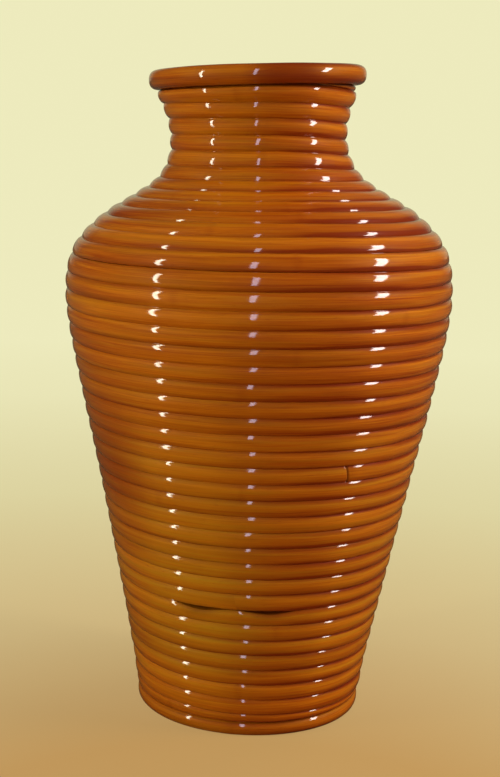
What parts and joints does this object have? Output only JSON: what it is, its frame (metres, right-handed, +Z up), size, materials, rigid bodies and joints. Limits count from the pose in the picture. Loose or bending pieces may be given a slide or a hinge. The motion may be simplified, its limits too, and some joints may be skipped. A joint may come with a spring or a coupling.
{
  "type": "coiled rattan vase",
  "caption": "Tall open vase of round lacquered cane, wound in a helix over upright ribs, with a wide belly, a narrow neck, a flared rim and a flat foot.",
  "frame": {"origin": "centre of the vase's footprint at floor level, under the middle of the belly", "axes": "+Z up, -Y towards the pictured side, +X to the right as seen from there"},
  "size_m": [0.2694, 0.2694, 0.4613],
  "materials": {
    "lacquered_cane": "amber brown lacquer, glossy, over round rattan cane",
    "lacquered_rim_cane": "amber brown lacquer, glossy, over thicker rattan cane",
    "lacquered_foot_cane": "amber brown lacquer, glossy, worn flat underneath",
    "plain_cane": "bare rattan cane, matt",
    "plain_board": "bare plywood, matt",
    "bright_nail": "bright drawn steel"
  },
  "bodies": {
    "root": {"foot_ring": "lacquered_foot_cane", "cane_1": "lacquered_cane", "cane_2": "lacquered_cane", "cane_3": "lacquered_cane", "cane_4": "lacquered_cane", "cane_5": "lacquered_cane", "cane_6": "lacquered_cane", "cane_7": "lacquered_cane", "cane_8": "lacquered_cane", "cane_9": "lacquered_cane", "rim_ring": "lacquered_rim_cane", "base_board": "plain_board", "rib_1": "plain_cane", "rib_2": "plain_cane", "rib_3": "plain_cane", "rib_4": "plain_cane", "rib_5": "plain_cane", "rib_6": "plain_cane", "rib_7": "plain_cane", "rib_8": "plain_cane", "belly_hoop": "plain_cane", "neck_hoop": "plain_cane", "rim_nail_1": "bright_nail", "rim_nail_2": "bright_nail", "rim_nail_3": "bright_nail", "rim_nail_4": "bright_nail", "rim_nail_5": "bright_nail", "rim_nail_6": "bright_nail", "rim_nail_7": "bright_nail", "rim_nail_8": "bright_nail", "base_nail_1": "bright_nail", "base_nail_2": "bright_nail", "base_nail_3": "bright_nail", "base_nail_4": "bright_nail", "base_nail_5": "bright_nail", "base_nail_6": "bright_nail", "base_nail_7": "bright_nail", "base_nail_8": "bright_nail"}
  },
  "joints": []
}
